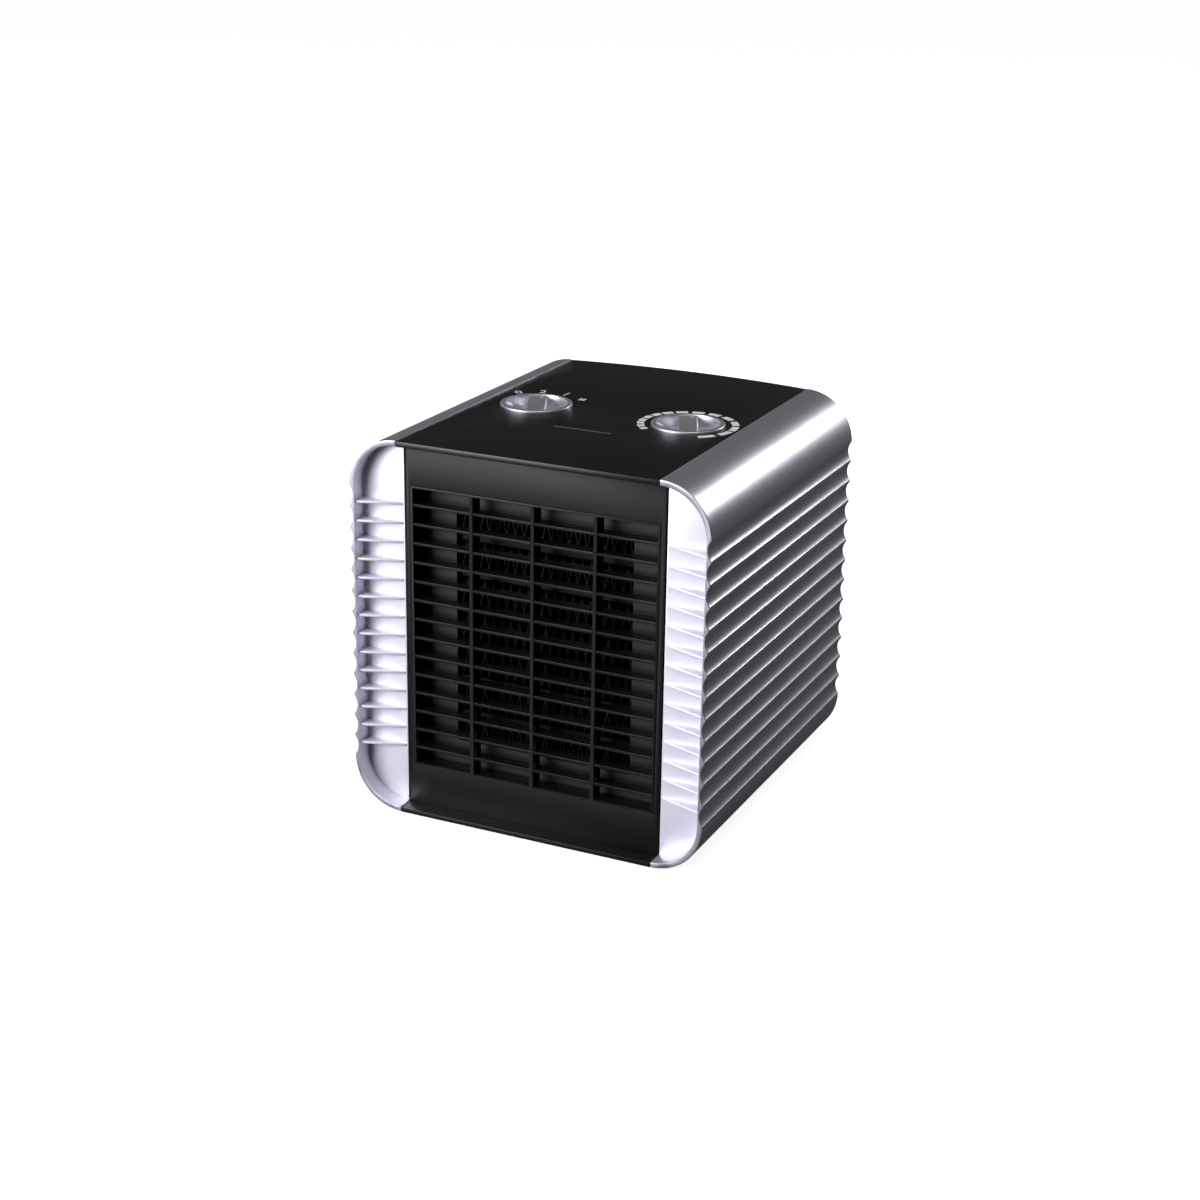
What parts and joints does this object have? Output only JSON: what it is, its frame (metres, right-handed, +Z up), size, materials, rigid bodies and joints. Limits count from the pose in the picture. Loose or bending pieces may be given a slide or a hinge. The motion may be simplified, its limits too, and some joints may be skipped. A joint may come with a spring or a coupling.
{
  "type": "ceramic space heater",
  "caption": "Cube-shaped ceramic fan heater with silver fluted side panels, a black front outlet grille and two flush dish knobs on top.",
  "frame": {"origin": "under the middle of the case, at the level of the feet", "axes": "+X to the right seen from the front, front faces -Y, +Z up"},
  "size_m": [0.1964, 0.204, 0.2027],
  "materials": {
    "silver_plastic": "silver satin paint on plastic",
    "silver_gloss": "bright silver plated plastic",
    "black_plastic": "black satin moulding",
    "heatproof_plastic": "dark heat-resistant moulding",
    "fan_plastic": "dark grey moulding",
    "rubber": "black rubber",
    "steel": "zinc-plated steel",
    "aluminium": "bare aluminium",
    "ceramic": "white ceramic",
    "brass": "brass",
    "copper_coil": "enamelled copper winding",
    "clear_plastic": "smoky clear moulding",
    "lamp_glass": "clear glass",
    "block_plastic": "off-white moulding",
    "wire_cover": "silicone sleeve"
  },
  "bodies": {
    "case": {"side_profile_left": "silver_plastic", "side_profile_right": "silver_plastic", "bezel_left": "silver_plastic", "bezel_right": "silver_plastic", "top_panel": "black_plastic", "base_tray": "black_plastic", "front_panel": "black_plastic", "front_grille": "black_plastic", "rear_cover": "black_plastic", "heater_duct": "heatproof_plastic", "fan_shroud": "heatproof_plastic", "heater_frame_front": "heatproof_plastic", "heater_frame_rear": "heatproof_plastic", "element_end_left": "heatproof_plastic", "element_end_right": "heatproof_plastic", "switch_housing": "heatproof_plastic", "lamp_holder": "heatproof_plastic", "thermal_cutout": "heatproof_plastic", "rubber_feet": "rubber", "cord_gland": "rubber", "motor_core": "steel", "motor_bridge_front": "steel", "motor_bridge_rear": "steel", "thermostat_plate": "steel", "motor_screws": "steel", "control_screws": "steel", "base_screws": "steel", "rear_screws": "steel", "thermostat_blades": "steel", "heating_tubes": "aluminium", "radiator_fins": "aluminium", "ceramic_stones": "ceramic", "thermostat_spacers": "ceramic", "thermal_fuse": "ceramic", "electrode_tabs": "brass", "switch_terminals": "brass", "terminal_screws": "brass", "thermostat_rivet": "brass", "bush_front": "brass", "bush_rear": "brass", "motor_coil": "copper_coil", "indicator_lens": "clear_plastic", "indicator_lamp": "lamp_glass", "terminal_block": "block_plastic", "wiring": "wire_cover"},
    "mode_control": {"mode_knob": "silver_gloss", "switch_shaft": "steel"},
    "thermostat_control": {"thermostat_knob": "silver_gloss", "thermostat_shaft": "steel"},
    "fan": {"fan_wheel": "fan_plastic", "motor_shaft": "steel", "motor_rotor": "steel"}
  },
  "joints": [
    {"name": "mode_turn", "type": "hinge", "parent": "case", "child": "mode_control", "pos_m": [-0.0432, -0.0035, 0.2017], "axis": [0, 0, 1], "range_deg": [-60, 30]},
    {"name": "thermostat_turn", "type": "hinge", "parent": "case", "child": "thermostat_control", "pos_m": [0.0432, -0.0035, 0.2017], "axis": [0, 0, 1], "range_deg": [-159, 111]},
    {"name": "fan_spin", "type": "hinge", "parent": "case", "child": "fan", "pos_m": [0, 0, 0.10145], "axis": [0, 1, 0], "continuous": true}
  ]
}
